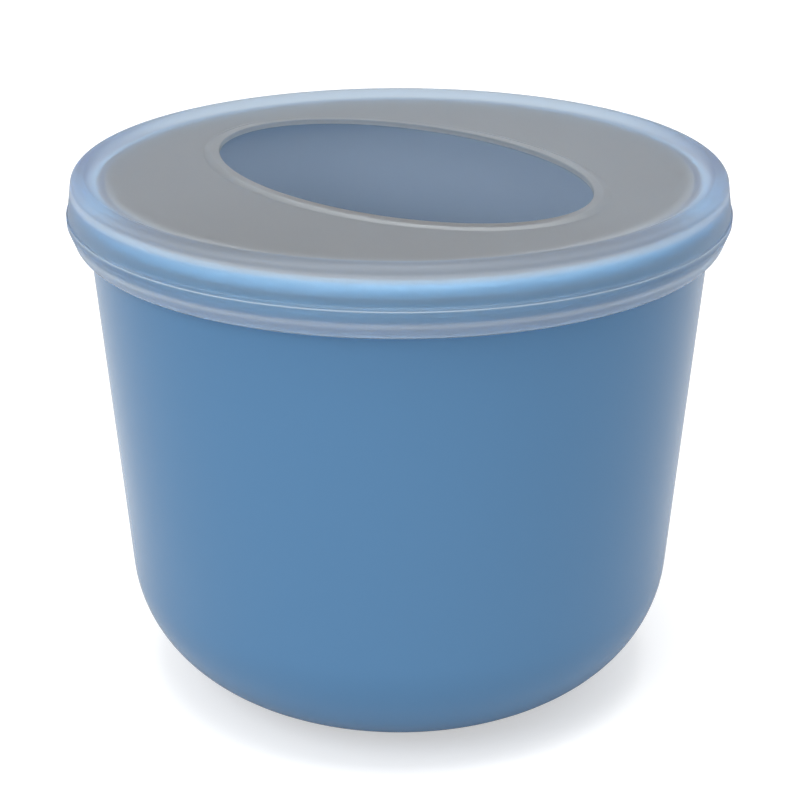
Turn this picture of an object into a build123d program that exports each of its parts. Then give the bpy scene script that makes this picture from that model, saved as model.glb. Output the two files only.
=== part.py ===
from build123d import *

import os
from math import cos, radians, sin, tan

# Round food container: a one-piece pot with a press-on lid that has an oval opening.
# Millimetres, +Z up. The origin is the middle of the flat foot that the pot stands on.

# Pot
pot_height = 80.0
rim_radius = 47.35         # outside of the pot's mouth, behind the bead round it
pot_wall = 1.8
pot_draft = 4.1            # degrees that the side leans outwards
base_round = 26.5          # wide arc that leaves the flat foot
base_sweep = 30.0          # degrees that the wide arc turns through
side_round = 20.2          # tighter arc that runs on into the side
rim_edge_round = 0.6       # of the mouth's inner edge
rim_bead_reach = 0.65      # how far the bead round the mouth stands out
rim_bead_height = 1.9      # from its 45 degree underside to the top
rim_bead_round = 1.7       # of its upper edge

# Top of the lid
seat_thickness = 2.0       # of the lid over the pot's mouth
panel_thickness = 0.6      # inside the plug
ridge_height = 1.0         # ridge round the lid, above the panel
ridge_width = 1.9          # top of the ridge, its outer rounding included
ridge_slope = 1.9          # run of the ridge's inner slope
ridge_foot_round = 2.0
ridge_inner_round = 0.8
ridge_outer_round = 1.5

# Skirt of the lid, outside the pot's mouth
skirt_gap = 0.4            # between the rim bead and the skirt
channel_round = 1.9        # of the channel's outer corner, over the rim bead
skirt_wall = 0.6           # at the top of the skirt
skirt_draft = 7.9          # degrees that the outside of the skirt leans outwards
skirt_height = 5.65        # from the top of the lid to the ledge over the grip band
ledge_step = 0.215         # how far the grip band stands out from the skirt
ledge_height = 0.15
band_height = 1.0
taper_angle = 20.5         # degrees that the skirt leans inwards under the grip band
taper_height = 2.0
skirt_edge_round = 2.35    # rounding of the skirt's lower edge
snap_clearance = 0.05      # between the snap bead and the rim bead
snap_bead_height = 1.3     # from the skirt's lower edge to the bead's upper flank
snap_bead_slope = 1.0      # height of that flank

# Plug of the lid, inside the pot's mouth
plug_clearance = 0.15
plug_depth = 1.6           # below the pot's mouth
plug_wall = 1.1
plug_edge_round = 0.3

# Oval opening for a child's hand
opening_length = 67.6
opening_width = 43.9
opening_turn = -47.0       # degrees from +X to the oval's long axis
opening_lip_width = 2.8
opening_lip_height = 0.35
opening_lip_round = 0.3
opening_edge_round = 0.25

# Pot outline: two tangent arcs between the flat foot and the leaning side
pot_lean = tan(radians(pot_draft))
side_sweep = 90 - pot_draft - base_sweep
base_angle = radians(base_sweep)
side_angle = radians(90 - pot_draft)
corner_height = base_round * (1 - cos(base_angle)) + side_round * (cos(base_angle) - cos(side_angle))
corner_width = base_round * sin(base_angle) + side_round * (sin(side_angle) - sin(base_angle))
foot_radius = rim_radius - (pot_height - corner_height) * pot_lean - corner_width
mouth_radius = rim_radius - pot_wall / cos(radians(pot_draft))
rim_bead_radius = rim_radius + rim_bead_reach
rim_bead_root = rim_radius - pot_wall / 2
rim_bead_bottom = pot_height - rim_bead_height

# Lid levels, from the top down
panel_top = pot_height + seat_thickness
panel_bottom = panel_top - panel_thickness
lid_top = panel_top + ridge_height
ledge_top = lid_top - skirt_height
band_top = ledge_top - ledge_height
band_bottom = band_top - band_height
taper_bottom = band_bottom - taper_height
lid_bottom = taper_bottom - skirt_edge_round * (1 - sin(radians(taper_angle)))
bead_bottom = lid_bottom + snap_bead_height
bead_top = bead_bottom + snap_bead_slope
plug_bottom = pot_height - plug_depth

# Lid radii, from the pot's mouth outwards
snap_radius = rim_bead_radius + snap_clearance
skirt_inner_radius = rim_bead_radius + skirt_gap
skirt_top_radius = skirt_inner_radius + skirt_wall
ledge_radius = skirt_top_radius + skirt_height * tan(radians(skirt_draft))
band_radius = ledge_radius + ledge_step
taper_radius = band_radius - taper_height * tan(radians(taper_angle))
ridge_radius = skirt_top_radius - ridge_width
plug_radius = mouth_radius - plug_clearance
plug_tip_radius = plug_radius - plug_depth * pot_lean
plug_inner_radius = plug_tip_radius - plug_wall

# Raised lip round the opening
lip_outer_length = opening_length + 2 * opening_lip_width
lip_outer_width = opening_width + 2 * opening_lip_width

os.makedirs("parts", exist_ok=True)

# Pot: a turned shell with a bead round its mouth
with BuildPart() as pot:
    with BuildSketch(Plane.XZ):
        with BuildLine():
            foot = Line((0, 0), (foot_radius, 0))
            base = JernArc(foot @ 1, foot % 1, base_round, base_sweep)
            side = JernArc(base @ 1, base % 1, side_round, side_sweep)
            Polyline(side @ 1, (rim_radius, pot_height), (0, pot_height), foot @ 0)
        make_face()
    revolve(axis=Axis.Z)
    offset(amount=-pot_wall, openings=pot.faces().sort_by(Axis.Z)[-1])
    with BuildSketch(Plane.XZ):
        with BuildLine():
            Polyline(
                (rim_bead_root, pot_height),
                (rim_bead_radius, pot_height),
                (rim_bead_radius, rim_bead_bottom),
                (rim_bead_root, rim_bead_bottom - (rim_bead_radius - rim_bead_root)),
                close=True,
            )
        make_face()
    revolve(axis=Axis.Z)
    fillet(pot.faces().sort_by(Axis.Z)[-1].edges().sort_by(SortBy.LENGTH)[0], rim_edge_round)
    fillet(pot.faces().sort_by(Axis.Z)[-1].edges().sort_by(SortBy.LENGTH)[-1], rim_bead_round)
pot.part.label = "pot"
export_step(pot.part, "parts/pot.step")

# Lid: a turned cap over the pot's mouth, with a plug inside it and an oval opening
with BuildPart() as lid:
    with BuildSketch(Plane.XZ):
        with BuildLine():
            ridge = FilletPolyline(
                (0, panel_top),
                (ridge_radius - ridge_slope, panel_top),
                (ridge_radius, lid_top),
                (skirt_top_radius, lid_top),
                (ledge_radius, ledge_top),
                radius=[ridge_foot_round, ridge_inner_round, ridge_outer_round],
            )
            band = Polyline(
                ridge @ 1,
                (band_radius, band_top),
                (band_radius, band_bottom),
                (taper_radius, taper_bottom),
            )
            edge = JernArc(band @ 1, band % 1, skirt_edge_round, taper_angle - 90)
            Polyline(edge @ 1, (0, lid_bottom), (0, panel_top))
        make_face()
        with BuildLine():
            channel = Polyline(
                (0, lid_bottom),
                (snap_radius, lid_bottom),
                (snap_radius, bead_bottom),
                (skirt_inner_radius, bead_top),
                (skirt_inner_radius, pot_height - channel_round),
            )
            over_bead = JernArc(channel @ 1, channel % 1, channel_round, 90)
            Polyline(
                over_bead @ 1,
                (plug_inner_radius, pot_height),
                (plug_inner_radius, panel_bottom),
                (0, panel_bottom),
                (0, lid_bottom),
            )
        make_face(mode=Mode.SUBTRACT)
    revolve(axis=Axis.Z)
    with BuildSketch(Plane.XZ) as plug:
        with BuildLine():
            Polyline(
                (plug_inner_radius, pot_height),
                (plug_inner_radius, plug_bottom),
                (plug_tip_radius, plug_bottom),
                (plug_radius, pot_height),
                close=True,
            )
        make_face()
        fillet(plug.vertices().group_by(Axis.Y)[0], plug_edge_round)
    revolve(axis=Axis.Z)
    with BuildSketch(Plane.XY.offset(panel_top)):
        Ellipse(lip_outer_length / 2, lip_outer_width / 2, rotation=opening_turn)
    extrude(amount=opening_lip_height)
    fillet(lid.edges(Select.LAST).group_by(Axis.Z)[-1], opening_lip_round)
    with BuildSketch(Plane.XY.offset(panel_bottom)):
        Ellipse(opening_length / 2, opening_width / 2, rotation=opening_turn)
    extrude(amount=lid_top - panel_bottom, mode=Mode.SUBTRACT)
    opening_edges = lid.edges(Select.LAST).group_by(Axis.Z)
    fillet(opening_edges[0] + opening_edges[-1], opening_edge_round)
lid.part.label = "lid"
export_step(lid.part, "parts/lid.step")
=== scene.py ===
"""Looks of a lidded snack pot: a blue moulded pot under a frosted lid with an oval opening."""
import logging
import math
from collections.abc import Sequence
from dataclasses import dataclass, field
from enum import Enum
from typing import Any

import bpy
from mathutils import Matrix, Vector


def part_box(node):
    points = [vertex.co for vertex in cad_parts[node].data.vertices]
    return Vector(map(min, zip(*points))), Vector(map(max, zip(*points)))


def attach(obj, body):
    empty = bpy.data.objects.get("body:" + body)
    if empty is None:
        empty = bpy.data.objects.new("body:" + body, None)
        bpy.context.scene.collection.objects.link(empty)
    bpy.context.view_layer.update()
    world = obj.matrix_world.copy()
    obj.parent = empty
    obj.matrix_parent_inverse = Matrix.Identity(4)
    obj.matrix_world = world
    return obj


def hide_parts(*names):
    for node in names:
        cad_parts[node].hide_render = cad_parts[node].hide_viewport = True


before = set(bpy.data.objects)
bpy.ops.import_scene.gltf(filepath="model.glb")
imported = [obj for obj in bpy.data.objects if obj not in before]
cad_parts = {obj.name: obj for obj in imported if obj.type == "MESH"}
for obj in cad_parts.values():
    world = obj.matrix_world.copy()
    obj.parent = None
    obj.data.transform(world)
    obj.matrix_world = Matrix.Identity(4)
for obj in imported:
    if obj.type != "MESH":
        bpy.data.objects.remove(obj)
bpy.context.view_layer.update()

log = logging.getLogger("food_container")

MM = 0.001
FACETS = 256            # flats round a turned piece
SMALL = 1e-4            # millimetres: two points nearer than this are one
FACES_UP = 0.01         # a face whose normal rises by more than this looks up

# The noise that the plastics share
NOISE_LOW, NOISE_HIGH = 0.3, 0.7        # nearly all of its values lie between these
CLOUD_FRAYING = 0.45                    # roughness of the colour drift's clouds

# Sockets of a Mix node that mixes colours
MIX_SHARE, MIX_FROM, MIX_TO, MIXED = 0, 6, 7, 2


class Body(Enum):
    """The bodies that the pieces ride on."""

    POT = "pot_body"
    LID = "lid_body"


class Slot(Enum):
    """The material slots."""

    POT = "pot_plastic"
    LID = "lid_plastic"


@dataclass(frozen=True)
class Corner:
    """A corner of a section, in millimetres.

    Args:
        out: Distance from the axis, or from the edge of the oval opening.
        up: Height above the foot.
        rounding: Radius that the corner is rounded to.
    """

    out: float
    up: float
    rounding: float = 0.0


@dataclass(frozen=True)
class Ring:
    """One level ring of a round or oval shape, in millimetres.

    Args:
        along: Half of its length along X.
        across: Half of its width along Y.
        up: Its height.
    """

    along: float
    across: float
    up: float


@dataclass(frozen=True)
class Section:
    """A section drawn as rounded corners joined by straight runs.

    Args:
        corners: The corners in order. The first and the last stay sharp.
        steps: Chords on each rounded corner.
        hold: Distance in millimetres from a rounding to the extra point that keeps a long run flat.
    """

    corners: Sequence[Corner]
    steps: int = 8
    hold: float = 0.12

    def rounded(self, index: int) -> list[Vector]:
        """Rounds one corner.

        Args:
            index: The corner's place in the section.

        Returns:
            The points of its arc, or the corner itself where it is sharp.
        """
        corner = self.corners[index]
        tip = Vector((corner.out, corner.up))
        if not corner.rounding:
            return [tip]
        before, after = self.corners[index - 1], self.corners[index + 1]
        arriving = (tip - Vector((before.out, before.up))).normalized()
        leaving = (Vector((after.out, after.up)) - tip).normalized()
        turn = arriving.angle_signed(leaving)
        start = tip - arriving * corner.rounding * math.tan(abs(turn) / 2)
        spoke = Vector((-arriving.y, arriving.x)) * math.copysign(corner.rounding, turn)
        points = []
        for step in range(self.steps + 1):
            angle = -turn * step / self.steps
            cosine, sine = math.cos(angle), math.sin(angle)
            turned = Vector((spoke.x * cosine - spoke.y * sine, spoke.x * sine + spoke.y * cosine))
            points.append(start - spoke + turned)
        return points

    def points(self) -> list[Vector]:
        """Gives the points of the whole section.

        Returns:
            The points in order, as (out, up) in millimetres.
        """
        last = len(self.corners) - 1
        arcs = [[Vector((corner.out, corner.up))] for corner in self.corners]
        for index in range(1, last):
            arcs[index] = self.rounded(index)
        points = list(arcs[0])
        for arc in arcs[1:]:
            run = arc[0] - points[-1]
            if run.length > 4 * self.hold:
                step = run.normalized() * self.hold
                points += [points[-1] + step, arc[0] - step]
            points += [point for point in arc if (point - points[-1]).length > SMALL]
        return points

    def turned(self) -> list[Ring]:
        """Gives the rings of the shape that the section draws when it turns about the axis."""
        return [Ring(point.x, point.x, point.y) for point in self.points()]


class TurnedShell:
    """A closed mesh that is drawn out ring by ring from one circle, as on a lathe."""

    def __init__(self, name: str, rings: Sequence[Ring]) -> None:
        """Draws the rings one after the other and stays in edit mode.

        Args:
            name: The piece's name.
            rings: Its rings, in order along the section.
        """
        first = rings[0]
        bpy.ops.object.select_all(action="DESELECT")
        bpy.ops.mesh.primitive_circle_add(
            vertices=FACETS, radius=MM, fill_type="NOTHING", location=(0, 0, 0),
        )
        self.piece = bpy.context.object
        self.piece.name = self.piece.data.name = name
        bpy.ops.object.mode_set(mode="EDIT")
        bpy.ops.mesh.select_all(action="SELECT")
        bpy.ops.transform.resize(value=(first.along, first.across, 1), center_override=(0, 0, 0))
        bpy.ops.transform.translate(value=(0, 0, first.up * MM))
        self.last = first
        for ring in rings[1:]:
            self.draw_to(ring)

    def draw_to(self, ring: Ring) -> None:
        """Extrudes the selected ring to the next one.

        Args:
            ring: The next ring.
        """
        lift = (ring.up - self.last.up) * MM
        stretch = (ring.along / self.last.along, ring.across / self.last.across, 1)
        bpy.ops.mesh.extrude_edges_move(TRANSFORM_OT_translate={"value": (0, 0, lift)})
        bpy.ops.transform.resize(value=stretch, center_override=(0, 0, ring.up * MM))
        self.last = ring

    def select_rims(self) -> None:
        """Selects the open rings."""
        bpy.ops.mesh.select_mode(type="EDGE")
        bpy.ops.mesh.select_all(action="DESELECT")
        bpy.ops.mesh.select_non_manifold(
            extend=False, use_wire=False, use_boundary=True, use_multi_face=False,
            use_non_contiguous=False, use_verts=False,
        )

    def cap(self) -> None:
        """Fills the two small open rings on the axis."""
        self.select_rims()
        bpy.ops.mesh.fill_holes(sides=FACETS)

    def join_ends(self) -> None:
        """Joins the last ring to the first."""
        self.select_rims()
        bpy.ops.mesh.bridge_edge_loops()

    def turn(self, degrees: float) -> None:
        """Turns the whole mesh about +Z, by `degrees` anticlockwise seen from above."""
        bpy.ops.mesh.select_all(action="SELECT")
        bpy.ops.transform.rotate(value=-math.radians(degrees), orient_axis="Z", center_override=(0, 0, 0))

    def finish(self) -> bpy.types.Object:
        """Points the faces outwards and smooths the shading.

        Returns:
            The finished object, at the origin.
        """
        bpy.ops.mesh.select_all(action="SELECT")
        bpy.ops.mesh.normals_make_consistent(inside=False)
        bpy.ops.mesh.select_all(action="DESELECT")
        bpy.ops.object.mode_set(mode="OBJECT")
        bpy.ops.object.shade_smooth()
        return self.piece


def linear(hex_colour: str) -> tuple[float, float, float, float]:
    """Turns an sRGB colour into Blender's linear one.

    Args:
        hex_colour: Such as "#5B86AE".

    Returns:
        Red, green, blue and an alpha of 1.
    """
    channels = [int(hex_colour[start:start + 2], 16) / 255 for start in (1, 3, 5)]
    red, green, blue = (c / 12.92 if c <= 0.04045 else ((c + 0.055) / 1.055) ** 2.4 for c in channels)
    return red, green, blue, 1.0


def add_node(
    tree: bpy.types.NodeTree,
    kind: str,
    settings: dict[str, Any] | None = None,
    values: dict[str | int, Any] | None = None,
    links: dict[str | int, bpy.types.NodeSocket] | None = None,
) -> bpy.types.Node:
    """Adds one shader node.

    Args:
        tree: The node tree.
        kind: The node's type, such as "ShaderNodeTexNoise".
        settings: Its own settings, by attribute name.
        values: Values for its input sockets, by socket name or index.
        links: Sockets that feed its inputs, by socket name or index.

    Returns:
        The new node.
    """
    node = tree.nodes.new(kind)
    for name, value in (settings or {}).items():
        setattr(node, name, value)
    for name, value in (values or {}).items():
        node.inputs[name].default_value = value
    for name, source in (links or {}).items():
        tree.links.new(source, node.inputs[name])
    return node


@dataclass(frozen=True)
class MilkAndHighlights:
    """How milky a turned, see-through piece looks, by how thick its plastic is there, with milky bands that
    are painted highlights.

    Args:
        panel_mm: Radius of its thin panel, to the middle of a soft edge.
        edge_mm: Width of that edge.
        panel_colour: Colour of the panel.
        panel: Heights in millimetres, from low to high, and the share of light that the panel
            scatters there.
        outside: The same for what surrounds the panel.
    """

    panel_mm: float
    edge_mm: float
    panel_colour: str
    panel: tuple[tuple[float, float], ...]
    outside: tuple[tuple[float, float], ...]

    def clear(
        self,
        tree: bpy.types.NodeTree,
        height: bpy.types.NodeSocket,
        shares: tuple[tuple[float, float], ...],
    ) -> bpy.types.NodeSocket:
        """Adds the nodes that give the share of light that passes at each height.

        Args:
            tree: The node tree that they go into.
            height: The height, in metres.
            shares: Heights and the shares that are scattered there.

        Returns:
            The socket of the share that passes.
        """
        low, high = shares[0][0], shares[-1][0]
        level = add_node(
            tree, "ShaderNodeMapRange", values={"From Min": low * MM, "From Max": high * MM},
            links={"Value": height},
        )
        ramp = add_node(tree, "ShaderNodeValToRGB", links={"Fac": level.outputs["Result"]})
        stops = ramp.color_ramp.elements
        while len(stops) < len(shares):
            stops.new(0.5)
        for stop, (up, _) in zip(stops, shares):
            stop.position = (up - low) / (high - low)
        for stop, (_, share) in zip(stops, shares):
            stop.color = (1 - share, 1 - share, 1 - share, 1)
        return ramp.outputs["Color"]

    def link(
        self,
        tree: bpy.types.NodeTree,
        place: bpy.types.NodeSocket,
        colour: bpy.types.NodeSocket,
        shader: bpy.types.Node,
    ) -> None:
        """Adds the nodes that set the shader's colour and its share of light that passes.

        Args:
            tree: The node tree that they go into.
            place: The Object coordinates.
            colour: The colour outside the panel.
            shader: The piece's shader.
        """
        apart = add_node(tree, "ShaderNodeSeparateXYZ", links={"Vector": place})
        flat = add_node(
            tree, "ShaderNodeCombineXYZ", links={"X": apart.outputs["X"], "Y": apart.outputs["Y"]},
        )
        distance = add_node(
            tree, "ShaderNodeVectorMath", settings={"operation": "LENGTH"},
            links={0: flat.outputs["Vector"]},
        )
        outside = add_node(
            tree, "ShaderNodeMapRange", settings={"interpolation_type": "SMOOTHSTEP"},
            values={
                "From Min": (self.panel_mm - self.edge_mm / 2) * MM,
                "From Max": (self.panel_mm + self.edge_mm / 2) * MM,
            },
            links={"Value": distance.outputs["Value"]},
        )
        passed = add_node(
            tree, "ShaderNodeMapRange",
            links={
                "Value": outside.outputs["Result"],
                "To Min": self.clear(tree, apart.outputs["Z"], self.panel),
                "To Max": self.clear(tree, apart.outputs["Z"], self.outside),
            },
        )
        tinted = add_node(
            tree, "ShaderNodeMix", settings={"data_type": "RGBA"},
            values={MIX_FROM: linear(self.panel_colour)},
            links={MIX_SHARE: outside.outputs["Result"], MIX_TO: colour},
        )
        tree.links.new(tinted.outputs[MIXED], shader.inputs["Base Color"])
        tree.links.new(passed.outputs["Result"], shader.inputs["Transmission Weight"])


@dataclass(frozen=True)
class PaintedLightZone:
    """A zone at the top of a piece painted in another colour, which stands in for light that falls there:
    painted light.

    Args:
        layers: For each layer of colour, the height where it starts, where it is full, and the colour.
    """

    layers: tuple[tuple[float, float, str], ...]

    def over(
        self, tree: bpy.types.NodeTree, place: bpy.types.NodeSocket, colour: bpy.types.NodeSocket,
    ) -> bpy.types.NodeSocket:
        """Adds the nodes that lay the zone over a colour.

        Args:
            tree: The node tree that they go into.
            place: The Object coordinates.
            colour: The colour below the zone.

        Returns:
            The socket of the new colour.
        """
        height = add_node(tree, "ShaderNodeSeparateXYZ", links={"Vector": place}).outputs["Z"]
        for low, high, layer in self.layers:
            share = add_node(
                tree, "ShaderNodeMapRange", settings={"interpolation_type": "SMOOTHSTEP"},
                values={"From Min": low * MM, "From Max": high * MM}, links={"Value": height},
            )
            mixed = add_node(
                tree, "ShaderNodeMix", settings={"data_type": "RGBA"}, values={MIX_TO: linear(layer)},
                links={MIX_SHARE: share.outputs["Result"], MIX_FROM: colour},
            )
            colour = mixed.outputs[MIXED]
        return colour


@dataclass(frozen=True)
class MouldedPlastic:
    """What the plastics here share: a faint colour drift from the melt and the grain of the mould.

    Args:
        name: The material's name.
        colour: The plastic's main colour.
        drift_colour: The colour that it drifts to.
        drift_mm: Size of the drift's clouds.
        grain_mm: Size of the mould's grain.
        grain_depth_mm: Its depth.
        smooth: Roughness where the grain is polished.
        rough: Roughness where it is dull.
        ior: Index of refraction.
        specular: Level of the reflections. 0.5 is the full Fresnel one.
        smoke: Light that the plastic takes out of what passes through it, per millimetre.
        smoke_colour: Colour that it leaves.
        milk_and_highlights: Where a see-through plastic is milky, with painted highlights as milky bands,
            or None.
        painted_light: The zone whose colour is painted to stand in for light, or None.
    """

    name: str
    colour: str
    drift_colour: str
    drift_mm: float
    grain_mm: float
    grain_depth_mm: float
    smooth: float
    rough: float
    ior: float
    specular: float = 0.5
    smoke: float = 0.0
    smoke_colour: str = "#FFFFFF"
    milk_and_highlights: MilkAndHighlights | None = None
    painted_light: PaintedLightZone | None = None

    def build(self) -> bpy.types.Material:
        """Makes the material.

        Returns:
            The new material.
        """
        material = bpy.data.materials.new(self.name)
        material.use_nodes = True
        tree = material.node_tree
        tree.nodes.clear()
        place = add_node(tree, "ShaderNodeTexCoord").outputs["Object"]
        drift = add_node(
            tree, "ShaderNodeTexNoise",
            values={"Scale": 1 / (self.drift_mm * MM), "Roughness": CLOUD_FRAYING},
            links={"Vector": place},
        )
        colour = add_node(
            tree, "ShaderNodeMix", settings={"data_type": "RGBA"},
            values={MIX_FROM: linear(self.drift_colour), MIX_TO: linear(self.colour)},
            links={MIX_SHARE: drift.outputs["Fac"]},
        )
        dullness = add_node(
            tree, "ShaderNodeMapRange",
            values={
                "From Min": NOISE_LOW, "From Max": NOISE_HIGH, "To Min": self.smooth, "To Max": self.rough,
            },
            links={"Value": drift.outputs["Fac"]},
        )
        grain = add_node(
            tree, "ShaderNodeTexNoise", values={"Scale": 1 / (self.grain_mm * MM)}, links={"Vector": place},
        )
        bump = add_node(
            tree, "ShaderNodeBump",
            values={"Strength": 1.0, "Distance": self.grain_depth_mm * MM},
            links={"Height": grain.outputs["Fac"]},
        )
        shader = add_node(
            tree, "ShaderNodeBsdfPrincipled",
            values={"IOR": self.ior, "Specular IOR Level": self.specular},
            links={
                "Base Color": colour.outputs[MIXED], "Roughness": dullness.outputs["Result"],
                "Normal": bump.outputs["Normal"],
            },
        )
        if self.milk_and_highlights:
            self.milk_and_highlights.link(tree, place, colour.outputs[MIXED], shader)
        # painted light: the zone's colours stand in for light that falls on the piece there
        if self.painted_light:
            lit_colour = self.painted_light.over(tree, place, colour.outputs[MIXED])
            tree.links.new(lit_colour, shader.inputs["Base Color"])
        output = add_node(tree, "ShaderNodeOutputMaterial", links={"Surface": shader.outputs["BSDF"]})
        if self.smoke:
            volume = add_node(
                tree, "ShaderNodeVolumeAbsorption",
                values={"Color": linear(self.smoke_colour), "Density": self.smoke / MM},
            )
            tree.links.new(volume.outputs["Volume"], output.inputs["Volume"])
        return material


# Coloured polypropylene, injection moulded in a lightly blasted mould: an even mid blue with a soft
# sheen that pales it only where it turns away from the eye. Under the lid its colour is painted light:
# the band that the lid covers is painted paler, standing in for light that passes through the lid onto
# it, and the rim on top of it greyer, to tone that painted light down, so that the lid over them looks
# light blue.
SATIN_POLYPROPYLENE = MouldedPlastic(
    name="satin_moulded_polypropylene", colour="#517DA5", drift_colour="#4E7AA2", drift_mm=60.0,
    grain_mm=0.45, grain_depth_mm=0.003, smooth=0.2, rough=0.26, ior=1.49, specular=0.25,
    painted_light=PaintedLightZone(((74.0, 75.5, "#7CB0CC"), (78.7, 79.8, "#98B4BE"))),
)

# The same plastic inside the pot, duller off the blasted core, and greyer in colour than outside. It is
# painted paler towards the mouth, standing in for the light that falls in through the opening and the lid,
# which leaves it darker below: painted light and shade.
DULL_POLYPROPYLENE = MouldedPlastic(
    name="dull_moulded_polypropylene", colour="#64758A", drift_colour="#627388", drift_mm=40.0,
    grain_mm=0.6, grain_depth_mm=0.006, smooth=0.5, rough=0.6, ior=1.49, specular=0.25,
    painted_light=PaintedLightZone(((48.0, 73.0, "#AABED6"),)),
)

# Polyethylene with a frosted face and a blue tint: a milky grey sheet that shows the blue of the pot
# clearly only where the two nearly touch. It is milkier where it is thick, along the ridge and at the
# lower edge of the skirt, and its milky bands there, at the sharp edge of the grip band and round the
# opening's cut face and lip are also painted highlights: the scattered white stands in for light caught
# there. Its tint deepens with the way through it, as at the far left and right. The IOR is under the
# plastic's own 1.5, at which bright glassy bands stand out along the ridge and the skirt.
FROSTED_POLYETHYLENE = MouldedPlastic(
    name="frosted_moulded_polyethylene", colour="#F2F9FE", drift_colour="#EEF6FC", drift_mm=35.0,
    grain_mm=0.5, grain_depth_mm=0.003, smooth=0.35, rough=0.4, ior=1.2,
    smoke=0.16, smoke_colour="#6CBEEA",
    milk_and_highlights=MilkAndHighlights(
        panel_mm=44.6, edge_mm=4.0, panel_colour="#DED9D3",
        # The share over the opening's cut face, from 81.55 to 81.9, and its rise over the lip are painted
        # highlights.
        panel=(
            (81.3, 0.07), (81.45, 0.07), (81.55, 0.17), (81.9, 0.17), (81.97, 0.07), (82.02, 0.07),
            (82.15, 0.09), (82.4, 0.11),
        ),
        # The grip band's sharp edge, from 76.95 to 77.05, is a painted highlight. The peaks at the lower
        # edge, on the bead's flank at 74.65 and on the ridge's outer rounding, from 80.8 to 81.9, are
        # partly milkier plastic where it is thick and partly painted highlight.
        outside=(
            (72.7, 0.32), (73.05, 0.32), (73.2, 0.17), (74.2, 0.17), (74.65, 0.28), (75.1, 0.19),
            (75.4, 0.08), (76.88, 0.08), (76.95, 0.42), (77.05, 0.42), (77.12, 0.07), (77.3, 0.06),
            (77.9, 0.06), (78.3, 0.08), (80.3, 0.08), (80.8, 0.26), (81.1, 0.32), (81.5, 0.32),
            (81.9, 0.2), (82.4, 0.19), (82.8, 0.13), (83.0, 0.11),
        ),
    ),
)


def dress(
    piece: bpy.types.Object, finishes: Sequence[MouldedPlastic], body: Body, node: str,
) -> None:
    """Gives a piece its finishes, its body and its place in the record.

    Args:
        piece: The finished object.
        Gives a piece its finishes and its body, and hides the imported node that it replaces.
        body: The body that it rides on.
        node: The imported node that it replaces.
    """
    for index, finish in enumerate(finishes):
        if index < len(piece.data.materials):
            piece.data.materials[index] = finish.build()
        else:
            piece.data.materials.append(finish.build())
    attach(piece, body.value)
    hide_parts(node)
    log.info("%s: %d faces, rides on %s", piece.name, len(piece.data.polygons), body.value)


@dataclass(frozen=True)
class Mouth:
    """The mouth of the pot, where the lid seats. Sizes in millimetres."""

    wall: float = 1.8
    draft: float = 4.1              # degrees that the pot's side leans outwards
    bead_reach: float = 0.65        # how far the bead round the mouth stands out
    bead: float = field(default_factory=lambda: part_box("pot")[1].x / MM)
    height: float = field(default_factory=lambda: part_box("pot")[1].z / MM)

    @property
    def outside(self) -> float:
        """Radius of the mouth behind its bead."""
        return self.bead - self.bead_reach

    def side_at(self, up: float, inset: float = 0.0) -> float:
        """Gives the radius of the pot's side at a height, `inset` inside its outer face."""
        lean = math.radians(self.draft)
        return self.outside - (self.height - up) * math.tan(lean) - inset / math.cos(lean)


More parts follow.
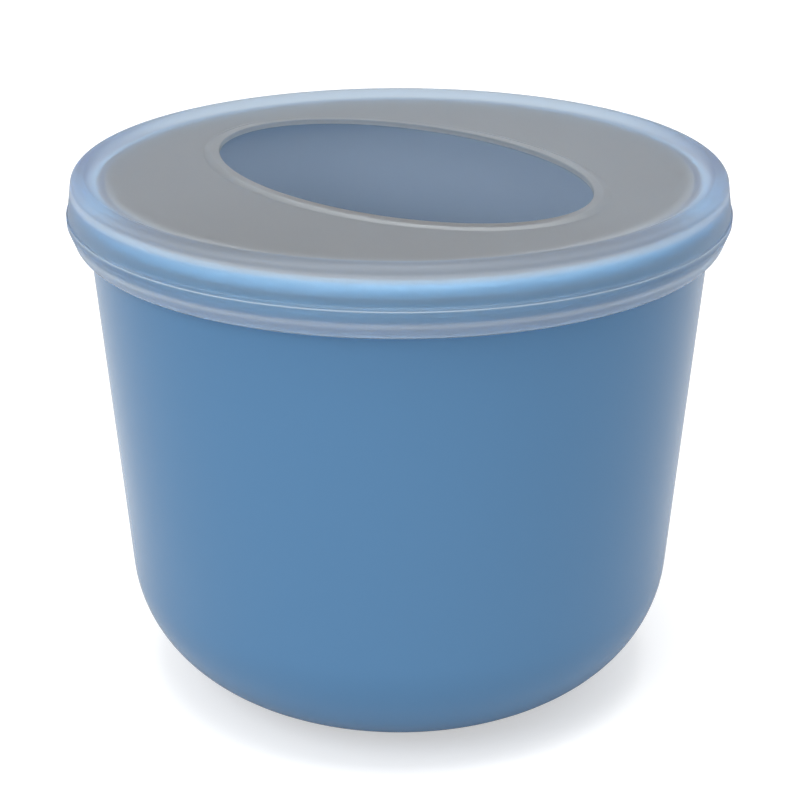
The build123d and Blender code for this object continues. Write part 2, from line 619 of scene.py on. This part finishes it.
@dataclass(frozen=True)
class Pot:
    """The blue pot: a turned shell with a bead round its mouth. Sizes in millimetres."""

    mouth: Mouth
    base_round: float = 26.5        # wide arc that leaves the foot
    base_sweep: float = 30.0        # degrees that it turns through
    side_round: float = 20.2        # tighter arc that runs on into the side
    rim_round: float = 0.6
    bead_edge_round: float = 1.7
    bead_height: float = 1.9        # from its 45 degree underside to the top
    bead_round: float = 0.2         # of the two edges of its underside
    gate_well: float = 3.0          # small well under the foot, where the melt came in
    gate_well_depth: float = 0.5
    gate_well_round: float = 0.2
    gate_nub: float = 0.9           # stub left in the well's middle
    gate_nub_height: float = 0.3
    gate_nub_round: float = 0.1

    def base_corners(self, inset: float) -> list[Corner]:
        """Gives the two rounded corners between the floor and the side.

        Args:
            inset: How far inside the outer face they lie.

        Returns:
            The corners, from the floor to the side.
        """
        sweep = math.radians(self.base_sweep)
        side = math.radians(90 - self.mouth.draft)
        wide, tight = self.base_round - inset, self.side_round - inset
        slant = wide * math.tan(sweep / 2) + tight * math.tan((side - sweep) / 2)
        rise, run = slant * math.sin(sweep), slant * math.cos(sweep)
        knee = self.mouth.side_at(inset + rise, inset)
        return [Corner(knee - run, inset, wide), Corner(knee, inset + rise, tight)]

    def corners(self) -> list[Corner]:
        """Gives the section.

        Returns:
            Its corners, from the gate under the foot up the outside and down the inside.
        """
        mouth = self.mouth
        bead_bottom = mouth.height - self.bead_height
        lean = math.tan(math.radians(mouth.draft))
        bead_foot = (bead_bottom - mouth.bead_reach - mouth.height * lean) / (1 - lean)
        nub_top = self.gate_well_depth - self.gate_nub_height
        return [
            Corner(self.gate_nub / 2, nub_top),
            Corner(self.gate_nub, nub_top, self.gate_nub_round),
            Corner(self.gate_nub, self.gate_well_depth, self.gate_nub_round),
            Corner(self.gate_well - self.gate_well_depth / 2, self.gate_well_depth, self.gate_well_round),
            Corner(self.gate_well, 0, self.gate_well_round),
            *self.base_corners(0),
            Corner(mouth.side_at(bead_foot), bead_foot, self.bead_round),
            Corner(mouth.bead, bead_bottom, self.bead_round),
            Corner(mouth.bead, mouth.height, self.bead_edge_round),
            Corner(mouth.side_at(mouth.height, mouth.wall), mouth.height, self.rim_round),
            *reversed(self.base_corners(mouth.wall)),
            Corner(self.gate_nub / 2, mouth.wall),
        ]

    def build(self) -> bpy.types.Object:
        """Models the pot and marks its inside for the second finish.

        Returns:
            The pot's object.
        """
        shell = TurnedShell("pot_shell", Section(self.corners(), steps=14).turned())
        shell.cap()
        piece = shell.finish()
        piece.data.materials.append(None)
        piece.data.materials.append(None)
        half_wall = self.mouth.wall / 2
        for face in piece.data.polygons:
            centre = face.center / MM
            out = math.hypot(centre.x, centre.y)
            level = half_wall < centre.z < self.mouth.height - self.rim_round
            inside = level and out < self.mouth.side_at(centre.z, half_wall)
            towards_axis = face.normal.x * centre.x + face.normal.y * centre.y < 0
            facing_in = face.normal.z > FACES_UP or towards_axis
            face.material_index = int(inside and facing_in)
        return piece

    def dress(self, piece: bpy.types.Object) -> None:
        """Finishes the pot."""
        dress(piece, [SATIN_POLYPROPYLENE, DULL_POLYPROPYLENE], Body.POT, "pot")


@dataclass(frozen=True)
class Lid:
    """The frosted lid: ridge, skirt, plug and oval opening. Sizes in millimetres."""

    mouth: Mouth
    seat: float = 2.0               # thickness over the pot's mouth
    panel: float = 0.6              # thickness inside the plug
    ridge_height: float = 1.0
    ridge_width: float = 1.9
    ridge_slope: float = 1.9
    ridge_foot_round: float = 2.0
    ridge_inner_round: float = 0.8
    ridge_outer_round: float = 1.5
    skirt_gap: float = 0.4
    skirt_wall: float = 0.6
    skirt_draft: float = 7.9        # degrees that the skirt's outside leans outwards
    skirt_height: float = 5.65
    ledge_step: float = 0.215
    ledge_height: float = 0.15
    ledge_round: float = 0.08       # of the crease over the ledge
    band_height: float = 1.0
    band_top_round: float = 0.06
    band_foot_round: float = 0.6
    taper_angle: float = 20.5       # degrees that the skirt leans inwards under the grip band
    taper_height: float = 2.0
    skirt_edge_round: float = 2.35  # puts the lower edge at its height
    skirt_foot_round: float = 1.6
    skirt_lip_round: float = 0.08   # of the lower edge's inside
    snap_clearance: float = 0.05
    snap_bead_height: float = 1.3
    snap_bead_slope: float = 1.0
    snap_bead_round: float = 0.3
    channel_round: float = 1.9      # of the channel's outer corner, over the bead
    seat_gap: float = -0.02         # the pot's mouth presses into the ceiling of the channel
    plug_clearance: float = 0.15
    plug_depth: float = 1.6         # below the pot's mouth
    plug_wall: float = 1.1
    plug_edge_round: float = 0.3
    plug_root_round: float = 0.25   # between the plug and the panel's underside
    opening_length: float = 67.6
    opening_width: float = 43.9
    opening_turn: float = -47.0     # degrees from +X to the oval's long axis
    opening_round: float = 0.25
    lip_width: float = 2.8
    lip_height: float = 0.35
    lip_crest_share: float = 0.5    # of the lip's width, level at its top
    lip_crest_round: float = 1.2
    lip_foot_share: float = 0.9     # of the lip's width, where its slope meets the panel
    lip_foot_round: float = 0.8
    oval_run: float = 1.2           # flat under the panel that stays oval
    oval_run_over: float = 0.4      # the same on top of it, outside the lip
    round_run: float = 1.5          # flat that stays round, inside the ridge and the plug
    panel_rings: int = 6            # steps from the oval to the round

    def oval(self, out: float, up: float) -> Ring:
        """Gives an oval ring that runs `out` outside the edge of the opening."""
        return Ring(self.opening_length / 2 + out, self.opening_width / 2 + out, up)

    def sheet(self, inner: Ring, outer: Ring) -> list[Ring]:
        """Gives the level rings that turn the oval into the round across the flat panel.

        Args:
            inner: The oval ring.
            outer: The round ring.

        Returns:
            The rings between them.
        """
        rings = []
        for step in range(1, self.panel_rings):
            share = step / self.panel_rings
            rings.append(Ring(
                inner.along + (outer.along - inner.along) * share,
                inner.across + (outer.across - inner.across) * share,
                inner.up,
            ))
        return rings

    def opening_rings(self, under: float, top: float) -> list[Ring]:
        """Gives the rings of the opening's edge.

        Args:
            under: Height of the panel's underside.
            top: Height of its top.

        Returns:
            The rings, from the underside over the raised lip to the panel.
        """
        crest = top + self.lip_height
        corners = [
            Corner(self.oval_run, under),
            Corner(0, under, self.opening_round),
            Corner(0, crest, self.opening_round),
            Corner(self.lip_width * self.lip_crest_share, crest, self.lip_crest_round),
            Corner(self.lip_width * self.lip_foot_share, top, self.lip_foot_round),
            Corner(self.lip_width + self.oval_run_over, top),
        ]
        return [self.oval(point.x, point.y) for point in Section(corners, hold=0.08).points()]

    def outer_corners(self, top: float, lid_top: float) -> list[Corner]:
        """Gives the section outside the panel.

        Args:
            top: Height of the panel's top.
            lid_top: Height of the ridge.

        Returns:
            Its corners: over the ridge, down the skirt, ledge and grip band, round the lower edge, up
            the inside over the snap bead, through the channel over the pot's mouth and round the plug.
        """
        mouth = self.mouth
        skirt_top = mouth.bead + self.skirt_gap + self.skirt_wall
        ledge_top = lid_top - self.skirt_height
        ledge = skirt_top + self.skirt_height * math.tan(math.radians(self.skirt_draft))
        band = ledge + self.ledge_step
        band_top = ledge_top - self.ledge_height
        band_bottom = band_top - self.band_height
        taper = math.radians(self.taper_angle)
        taper_bottom = band_bottom - self.taper_height
        bottom = taper_bottom - self.skirt_edge_round * (1 - math.sin(taper))
        snap = mouth.bead + self.snap_clearance
        bead_bottom = bottom + self.snap_bead_height
        channel = mouth.bead + self.skirt_gap
        seat = top - self.seat
        under = top - self.panel
        plug = mouth.side_at(mouth.height, mouth.wall) - self.plug_clearance
        plug_tip = plug - self.plug_depth * math.tan(math.radians(mouth.draft))
        plug_bottom = seat - self.plug_depth
        ridge = skirt_top - self.ridge_width
        return [
            Corner(ridge - self.ridge_slope - self.round_run, top),
            Corner(ridge - self.ridge_slope, top, self.ridge_foot_round),
            Corner(ridge, lid_top, self.ridge_inner_round),
            Corner(skirt_top, lid_top, self.ridge_outer_round),
            Corner(ledge, ledge_top, self.ledge_round),
            Corner(band, band_top, self.band_top_round),
            Corner(band, band_bottom, self.band_foot_round),
            Corner(band - (band_bottom - bottom) * math.tan(taper), bottom, self.skirt_foot_round),
            Corner(snap, bottom, self.skirt_lip_round),
            Corner(snap, bead_bottom, self.snap_bead_round),
            Corner(channel, bead_bottom + self.snap_bead_slope, self.snap_bead_round),
            Corner(channel, seat + self.seat_gap, self.channel_round),
            Corner(plug, seat + self.seat_gap),
            Corner(plug_tip, plug_bottom, self.plug_edge_round),
            Corner(plug_tip - self.plug_wall, plug_bottom, self.plug_edge_round),
            Corner(plug_tip - self.plug_wall, under, self.plug_root_round),
            Corner(plug_tip - self.plug_wall - self.round_run, under),
        ]

    def build(self) -> bpy.types.Object:
        """Models the lid.

        Returns:
            The lid's object.
        """
        lid_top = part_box("lid")[1].z / MM
        top = lid_top - self.ridge_height
        under = top - self.panel
        edge = self.opening_rings(under, top)
        outside = Section(self.outer_corners(top, lid_top)).turned()
        over = self.sheet(edge[-1], outside[0])
        below = self.sheet(edge[0], outside[-1])
        shell = TurnedShell("lid_cap", [*edge, *over, *outside, *reversed(below)])
        shell.join_ends()
        shell.turn(self.opening_turn)
        return shell.finish()

    def dress(self, piece: bpy.types.Object) -> None:
        """Finishes the lid."""
        dress(piece, [FROSTED_POLYETHYLENE], Body.LID, "lid")


@dataclass(frozen=True)
class SoftLamp:
    """A square lamp that points at the lid. Sizes in metres and watts."""

    name: str
    size: float
    power: float
    place: tuple[float, float, float]
    aim: tuple[float, float, float] = (0, 0, 0.05)

    def build(self) -> None:
        """Hangs the lamp."""
        bpy.ops.object.light_add(type="AREA", location=self.place)
        lamp = bpy.context.object
        lamp.name = self.name
        lamp.data.size = self.size
        lamp.data.energy = self.power
        way = Vector(self.aim) - Vector(self.place)
        lamp.rotation_euler = way.to_track_quat("-Z", "Y").to_euler()


@dataclass(frozen=True)
class Studio:
    """A pale floor in a white light tent, with a lamp overhead and one at the upper left."""

    floor_size: float = 6.0         # metres
    tent_side: float = 0.33         # what lights the object; the camera sees the tent at 1, plain white
    tent_top: float = 1.2
    floor_colour: str = "#CECECE"
    floor_through_lid: str = "#9C9C9C"  # keeps the floor from glaring through the lid's far side
    floor_glow: float = 0.5         # lifts the lit floor to white for the camera
    mirrored: float = 0.15          # share of the tent's white and the floor's glow in gloss and lid
    lamps: tuple[SoftLamp, ...] = (
        SoftLamp("overhead_lamp", size=0.3, power=2.4, place=(0.0, -0.08, 0.55)),
        SoftLamp("left_lamp", size=0.35, power=1.45, place=(-0.33, -0.4, 0.47)),
    )

    def build(self) -> None:
        """Makes the tent, the lamps and the floor."""
        self.light_tent()
        for lamp in self.lamps:
            lamp.build()
        self.pale_floor()

    def light_tent(self) -> None:
        """Makes the white surroundings, which the camera sees as plain white."""
        world = bpy.data.worlds.new("light_tent")
        bpy.context.scene.world = world
        world.use_nodes = True
        tree = world.node_tree
        tree.nodes.clear()
        way = add_node(tree, "ShaderNodeTexCoord").outputs["Generated"]
        height = add_node(tree, "ShaderNodeSeparateXYZ", links={"Vector": way}).outputs["Z"]
        lit = add_node(
            tree, "ShaderNodeMapRange", values={"To Min": self.tent_side, "To Max": self.tent_top},
            links={"Value": height},
        )
        strength = add_node(
            tree, "ShaderNodeMapRange", values={"To Max": 1.0},
            links={"Value": self.seen(tree), "To Min": lit.outputs["Result"]},
        )
        light = add_node(
            tree, "ShaderNodeBackground", values={"Color": (1, 1, 1, 1)},
            links={"Strength": strength.outputs["Result"]},
        )
        add_node(tree, "ShaderNodeOutputWorld", links={"Surface": light.outputs["Background"]})

    def seen(self, tree: bpy.types.NodeTree) -> bpy.types.NodeSocket:
        """Adds the nodes that tell rays that look from rays that light.

        Args:
            tree: The node tree that they go into.

        Returns:
            A socket that is 1 for camera rays and `mirrored` for glossy and transmission rays.
        """
        rays = add_node(tree, "ShaderNodeLightPath")
        bent = add_node(
            tree, "ShaderNodeMath", settings={"operation": "MAXIMUM"},
            links={0: rays.outputs["Is Glossy Ray"], 1: rays.outputs["Is Transmission Ray"]},
        )
        dimmed = add_node(
            tree, "ShaderNodeMath", settings={"operation": "MULTIPLY"}, values={1: self.mirrored},
            links={0: bent.outputs["Value"]},
        )
        every = add_node(
            tree, "ShaderNodeMath", settings={"operation": "MAXIMUM"},
            links={0: rays.outputs["Is Camera Ray"], 1: dimmed.outputs["Value"]},
        )
        return every.outputs["Value"]

    def pale_floor(self) -> None:
        """Makes the floor, which looks white but keeps the pot's shadow."""
        bpy.ops.mesh.primitive_plane_add(size=self.floor_size, location=(0, 0, 0))
        floor = bpy.context.object
        floor.name = "pale_floor"
        material = bpy.data.materials.new("white_floor")
        material.use_nodes = True
        tree = material.node_tree
        tree.nodes.clear()
        glow = add_node(
            tree, "ShaderNodeMath", settings={"operation": "MULTIPLY"}, values={1: self.floor_glow},
            links={0: self.seen(tree)},
        )
        rays = add_node(tree, "ShaderNodeLightPath")
        colour = add_node(
            tree, "ShaderNodeMix", settings={"data_type": "RGBA"},
            values={MIX_FROM: linear(self.floor_colour), MIX_TO: linear(self.floor_through_lid)},
            links={MIX_SHARE: rays.outputs["Is Transmission Ray"]},
        )
        shader = add_node(
            tree, "ShaderNodeBsdfPrincipled",
            values={"Roughness": 1.0, "Specular IOR Level": 0.0, "Emission Color": (1, 1, 1, 1)},
            links={"Base Color": colour.outputs[MIXED], "Emission Strength": glow.outputs["Value"]},
        )
        add_node(tree, "ShaderNodeOutputMaterial", links={"Surface": shader.outputs["BSDF"]})
        floor.data.materials.append(material)


@dataclass(frozen=True)
class PhotoCamera:
    """The camera at the photograph's viewing angle, matched to the lid's rings and the silhouette."""

    pitch: float = 22.61            # degrees below the horizon
    lid_radius: float = field(default_factory=lambda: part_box("lid")[1].x)
    distance: float = 6.0           # lid radii from the point that it looks at
    aim_height: float = 0.882       # lid radii above the foot
    lens: float = 85.11             # millimetres
    sensor: float = 36.0
    shift: float = 0.5 / 800        # the axis stands half a pixel left of the middle

    def build(self) -> None:
        """Makes the camera and hands it to the scene."""
        pitch = math.radians(self.pitch)
        away = self.distance * self.lid_radius
        height = self.aim_height * self.lid_radius
        place = (0, -away * math.cos(pitch), height + away * math.sin(pitch))
        bpy.ops.object.camera_add(location=place, rotation=(math.pi / 2 - pitch, 0, 0))
        camera = bpy.context.object
        camera.name = "photo_camera"
        camera.data.lens = self.lens
        camera.data.sensor_width = self.sensor
        camera.data.shift_x = self.shift
        bpy.context.scene.camera = camera


def main() -> None:
    """Builds the container, the studio and the camera."""
    logging.basicConfig(level=logging.INFO, format="%(name)s: %(message)s")
    bpy.context.scene.view_settings.view_transform = "Standard"
    mouth = Mouth()
    for part in (Pot(mouth), Lid(mouth)):
        part.dress(part.build())
    Studio().build()
    PhotoCamera().build()


if __name__ == "__main__":
    main()
